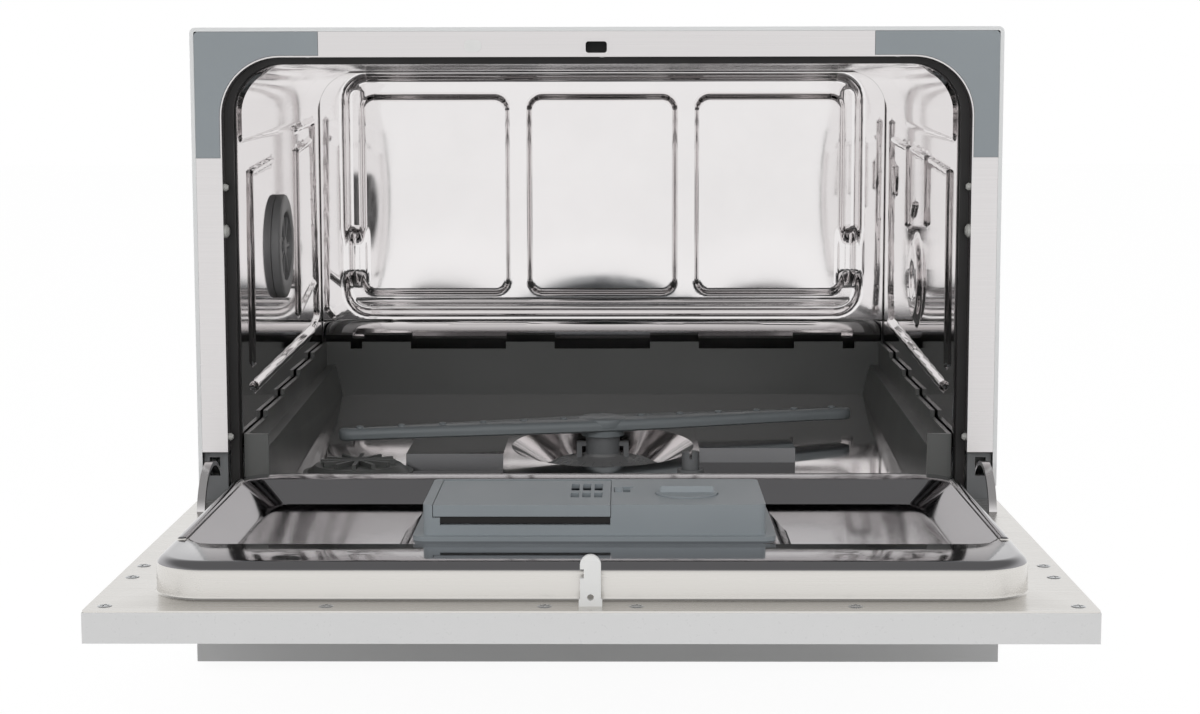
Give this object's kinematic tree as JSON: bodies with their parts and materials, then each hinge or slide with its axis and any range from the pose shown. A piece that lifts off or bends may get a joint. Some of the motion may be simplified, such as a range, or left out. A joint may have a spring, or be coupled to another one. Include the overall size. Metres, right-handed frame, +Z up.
{
  "type": "countertop dishwasher",
  "caption": "Countertop dishwasher with its drop-down door open, showing the steel tub, spray arm and detergent dispenser.",
  "frame": {"origin": "middle of the footprint on the worktop, with the door open", "axes": "+X to the right seen from the front, +Y from the door's tip to the back, +Z up"},
  "size_m": [0.55, 0.8264, 0.438],
  "materials": {
    "case_paint": "satin pale grey paint",
    "grey_plastic": "moulded mid grey plastic",
    "dark_plastic": "moulded dark grey plastic",
    "cover_plastic": "moulded blue grey plastic",
    "white_plastic": "glossy white plastic",
    "black_plastic": "moulded black plastic",
    "frame_steel": "fine brushed stainless steel",
    "tub_steel": "bright pressed stainless steel",
    "zinc_steel": "bright zinc plated steel",
    "rubber": "black rubber",
    "door_paint": "satin pale grey paint",
    "window_black": "glossy black window",
    "board_green": "green circuit board"
  },
  "bodies": {
    "cabinet": {"base_tray": "dark_plastic", "foot_front_left": "rubber", "foot_front_right": "rubber", "foot_rear_left": "rubber", "foot_rear_right": "rubber", "kick_plate": "grey_plastic", "outer_case": "case_paint", "rear_panel": "zinc_steel", "front_frame": "frame_steel", "corner_cover_left": "cover_plastic", "corner_cover_right": "cover_plastic", "latch_escutcheon": "cover_plastic", "frame_plug": "white_plastic", "door_lock": "dark_plastic", "tub_wrap": "tub_steel", "tub_back": "tub_steel", "tub_base": "dark_plastic", "tub_floor": "tub_steel", "door_gasket": "rubber", "bottom_seal": "rubber", "rack_studs": "white_plastic", "sump": "dark_plastic", "filter": "grey_plastic", "filter_lid": "dark_plastic", "spray_hub": "grey_plastic", "float_housing": "grey_plastic", "salt_container": "white_plastic", "salt_cap": "dark_plastic", "vent_nut": "grey_plastic", "air_break": "white_plastic", "hinge_bracket_left": "zinc_steel", "hinge_bracket_right": "zinc_steel", "hinge_cover_left": "grey_plastic", "hinge_cover_right": "grey_plastic", "circulation_pump": "dark_plastic", "drain_pump": "black_plastic", "heater": "zinc_steel", "inlet_valve": "white_plastic", "drain_outlet": "dark_plastic", "power_inlet": "black_plastic"},
    "door": {"door_panel": "door_paint", "door_fascia": "door_paint", "display_window": "window_black", "control_board": "board_green", "door_liner": "tub_steel", "hinge_arm_left": "zinc_steel", "hinge_arm_right": "zinc_steel", "latch_hook": "white_plastic", "dispenser_housing": "cover_plastic", "flange_screws": "zinc_steel"},
    "spray_arm": {"spray_arm": "grey_plastic"},
    "dispenser_flap": {"dispenser_flap": "cover_plastic"},
    "flap_latch": {"flap_latch": "grey_plastic"},
    "rinse_dial": {"rinse_dial": "cover_plastic"},
    "float": {"float": "white_plastic"},
    "button_power": {"button_power": "white_plastic"},
    "button_program": {"button_program": "white_plastic"},
    "button_delay": {"button_delay": "white_plastic"},
    "button_start": {"button_start": "white_plastic"}
  },
  "joints": [
    {"name": "door_hinge", "type": "hinge", "parent": "cabinet", "child": "door", "pos_m": [0, -0.08025, 0.1045], "axis": [-1, 0, 0], "range_deg": [0, 90]},
    {"name": "spray_arm_spin", "type": "hinge", "parent": "cabinet", "child": "spray_arm", "pos_m": [0.002, 0.1685, 0.135], "axis": [0, 0, 1], "continuous": true},
    {"name": "flap_hinge", "type": "hinge", "parent": "door", "child": "dispenser_flap", "pos_m": [0.001, -0.22575, 0.1512], "axis": [-1, 0, 0], "range_deg": [0, 95]},
    {"name": "flap_latch_slide", "type": "slide", "parent": "door", "child": "flap_latch", "axis": [1, 0, 0], "range_m": [0, 0.004], "stiffness_N_per_m": 120},
    {"name": "rinse_dial_turn", "type": "hinge", "parent": "door", "child": "rinse_dial", "pos_m": [0.056, -0.27075, 0.155], "axis": [0, 0, 1], "range_deg": [0, 90]},
    {"name": "float_lift", "type": "slide", "parent": "cabinet", "child": "float", "axis": [0, 0, 1], "range_m": [0, 0.005]},
    {"name": "button_power_press", "type": "slide", "parent": "door", "child": "button_power", "axis": [0, 0, 1], "range_m": [0, 0.0012], "stiffness_N_per_m": 800},
    {"name": "button_program_press", "type": "slide", "parent": "door", "child": "button_program", "axis": [0, 0, 1], "range_m": [0, 0.0012], "stiffness_N_per_m": 800},
    {"name": "button_delay_press", "type": "slide", "parent": "door", "child": "button_delay", "axis": [0, 0, 1], "range_m": [0, 0.0012], "stiffness_N_per_m": 800},
    {"name": "button_start_press", "type": "slide", "parent": "door", "child": "button_start", "axis": [0, 0, 1], "range_m": [0, 0.0012], "stiffness_N_per_m": 800}
  ]
}
